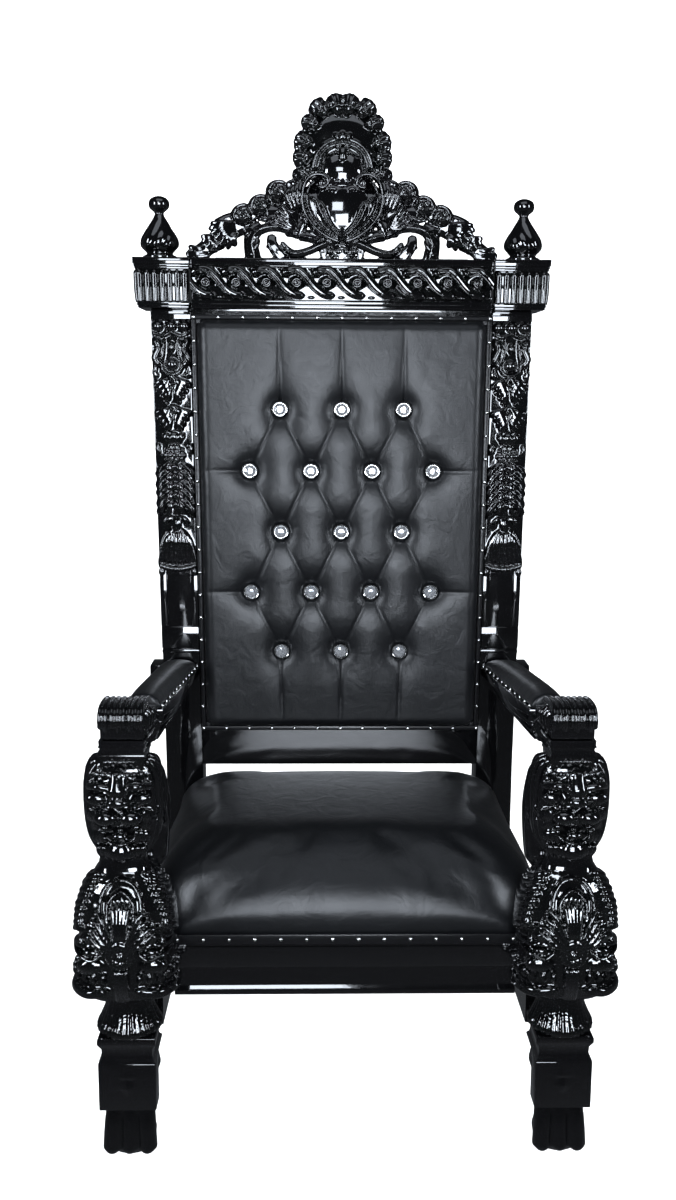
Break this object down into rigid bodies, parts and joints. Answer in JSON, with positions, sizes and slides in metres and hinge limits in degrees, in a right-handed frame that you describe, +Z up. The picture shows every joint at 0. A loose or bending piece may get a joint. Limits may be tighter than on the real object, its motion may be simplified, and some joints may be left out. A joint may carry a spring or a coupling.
{
  "type": "throne chair",
  "caption": "High-backed carved armchair with a buttoned back, a padded seat and arms, front legs carved with lion heads, and a pierced crest.",
  "frame": {"origin": "on the floor under the middle of the throne's bounding box", "axes": "+Z up, +Y towards the back of the throne, +X towards the right as seen from the front"},
  "size_m": [0.8824, 0.8195, 1.8401],
  "materials": {
    "lacquer": "gloss black lacquer on carved hardwood",
    "leather": "black faux leather with a soft sheen",
    "gimp": "glossy black gimp strip",
    "crystal": "faceted clear crystal"
  },
  "bodies": {
    "root": {"arm_left": "lacquer", "arm_pad_left": "leather", "arm_pad_right": "leather", "arm_right": "lacquer", "back_board": "lacquer", "back_pad": "leather", "back_post_left": "lacquer", "back_post_right": "lacquer", "back_trim": "gimp", "bottom_rail": "lacquer", "button_1_1": "crystal", "button_1_2": "crystal", "button_1_3": "crystal", "button_2_1": "crystal", "button_2_2": "crystal", "button_2_3": "crystal", "button_2_4": "crystal", "button_3_1": "crystal", "button_3_2": "crystal", "button_3_3": "crystal", "button_4_1": "crystal", "button_4_2": "crystal", "button_4_3": "crystal", "button_4_4": "crystal", "button_5_1": "crystal", "button_5_2": "crystal", "button_5_3": "crystal", "capital_left": "lacquer", "capital_right": "lacquer", "crest": "lacquer", "finial_left": "lacquer", "finial_right": "lacquer", "front_leg_left": "lacquer", "front_leg_right": "lacquer", "front_rail": "lacquer", "rear_rail": "lacquer", "seat_board": "lacquer", "seat_cushion": "leather", "seat_trim_front": "gimp", "seat_trim_left": "gimp", "seat_trim_right": "gimp", "side_rail_left": "lacquer", "side_rail_right": "lacquer", "top_rail": "lacquer"}
  },
  "joints": []
}
